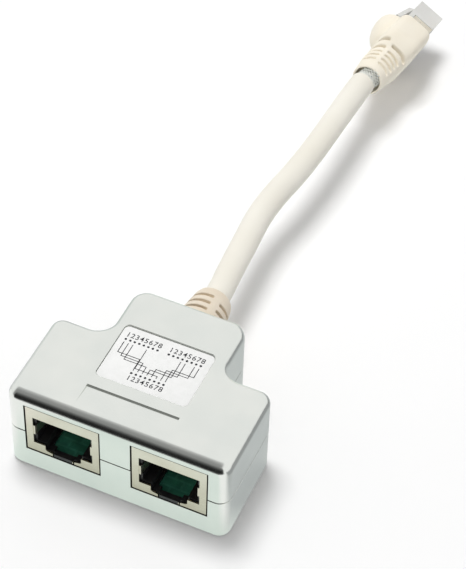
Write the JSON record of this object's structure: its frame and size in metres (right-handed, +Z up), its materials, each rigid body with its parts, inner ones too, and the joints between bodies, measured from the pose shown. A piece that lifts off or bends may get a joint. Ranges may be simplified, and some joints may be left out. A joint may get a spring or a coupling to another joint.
{
  "type": "rj45 splitter adapter",
  "caption": "Network splitter: a metallised two-shell housing with shielded sockets side by side, and a short shielded cable that ends in a booted modular plug.",
  "frame": {"origin": "middle of the housing's underside, on the surface it stands on", "axes": "+X along the housing's width, +Y from the jacks' faces toward the cable and its plug, +Z up"},
  "size_m": [0.048, 0.1566, 0.0217],
  "materials": {
    "metallised_plastic": "bright satin metallised plastic",
    "label": "matt white printed label",
    "tinned_sheet": "tinned",
    "black_plastic": "satin",
    "gold_plate": "gold plated",
    "board_green": "solder resist",
    "cable_jacket": "satin",
    "moulded_ivory": "satin",
    "screen_foil": "foil and braid",
    "clear_plastic": "clear",
    "conductor_orange": "satin",
    "conductor_green": "satin",
    "conductor_blue": "satin",
    "conductor_brown": "satin"
  },
  "bodies": {
    "root": {"upper_shell": "metallised_plastic", "lower_shell": "metallised_plastic", "wiring_label": "label", "left_jack_shield": "tinned_sheet", "left_jack_body": "black_plastic", "left_contact_carrier": "black_plastic", "left_jack_contact_1": "gold_plate", "left_jack_contact_2": "gold_plate", "left_jack_contact_3": "gold_plate", "left_jack_contact_4": "gold_plate", "left_jack_contact_5": "gold_plate", "left_jack_contact_6": "gold_plate", "left_jack_contact_7": "gold_plate", "left_jack_contact_8": "gold_plate", "right_jack_shield": "tinned_sheet", "right_jack_body": "black_plastic", "right_contact_carrier": "black_plastic", "right_jack_contact_1": "gold_plate", "right_jack_contact_2": "gold_plate", "right_jack_contact_3": "gold_plate", "right_jack_contact_4": "gold_plate", "right_jack_contact_5": "gold_plate", "right_jack_contact_6": "gold_plate", "right_jack_contact_7": "gold_plate", "right_jack_contact_8": "gold_plate", "circuit_board": "board_green", "cable_strain_relief": "moulded_ivory", "cable": "cable_jacket", "cable_screen": "screen_foil", "conductor_1": "conductor_orange", "conductor_2": "conductor_green", "conductor_3": "conductor_blue", "conductor_4": "conductor_brown", "conductor_5": "conductor_blue", "conductor_6": "conductor_orange", "conductor_7": "conductor_green", "conductor_8": "conductor_brown", "plug_boot": "moulded_ivory", "plug_body": "clear_plastic", "plug_shield": "tinned_sheet", "plug_contact_1": "gold_plate", "plug_contact_2": "gold_plate", "plug_contact_3": "gold_plate", "plug_contact_4": "gold_plate", "plug_contact_5": "gold_plate", "plug_contact_6": "gold_plate", "plug_contact_7": "gold_plate", "plug_contact_8": "gold_plate"}
  },
  "joints": []
}
